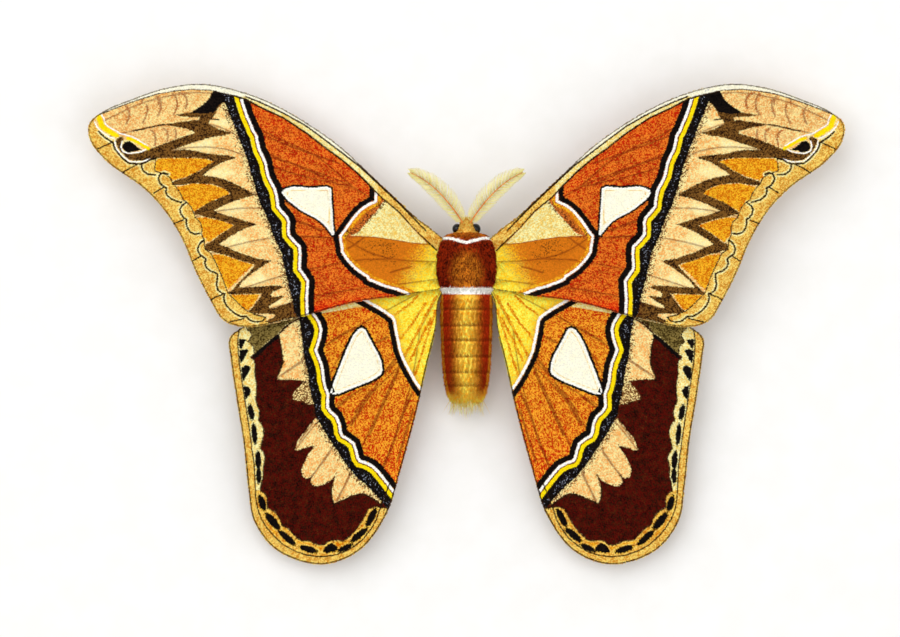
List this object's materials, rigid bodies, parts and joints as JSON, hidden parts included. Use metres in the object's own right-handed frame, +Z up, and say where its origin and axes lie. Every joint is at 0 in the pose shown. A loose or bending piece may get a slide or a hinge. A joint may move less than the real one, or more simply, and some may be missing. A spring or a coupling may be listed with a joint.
{
  "type": "aurota silk moth",
  "caption": "Giant silk moth at rest with its patterned wings spread flat, feathery antennae, a furry banded body and folded legs.",
  "frame": {"origin": "on the floor, below the middle of the box round the spread wings", "axes": "+X to the moth's right, +Y ahead of it, past its head, +Z up"},
  "size_m": [0.1396, 0.089, 0.0115],
  "materials": {
    "wing": "powdery wing scales in orange, cream, maroon, black, white and yellow",
    "thorax": "dense dark maroon fur with an ochre middle and a white collar",
    "abdomen": "short golden and maroon fur in rings, with a white waist",
    "head": "short pale golden hair",
    "eye": "glossy black compound eye",
    "antenna": "pale yellow feathered barbs on an orange-brown shaft",
    "leg": "short brown fur over a dull shell"
  },
  "bodies": {
    "root": {"head": "head", "eye_left": "eye", "eye_right": "eye", "antenna_left": "antenna", "antenna_right": "antenna", "thorax": "thorax", "abdomen": "abdomen", "forewing_left": "wing", "forewing_right": "wing", "hindwing_left": "wing", "hindwing_right": "wing", "leg_front_left": "leg", "leg_front_right": "leg", "leg_middle_left": "leg", "leg_middle_right": "leg", "leg_hind_left": "leg", "leg_hind_right": "leg"}
  },
  "joints": []
}
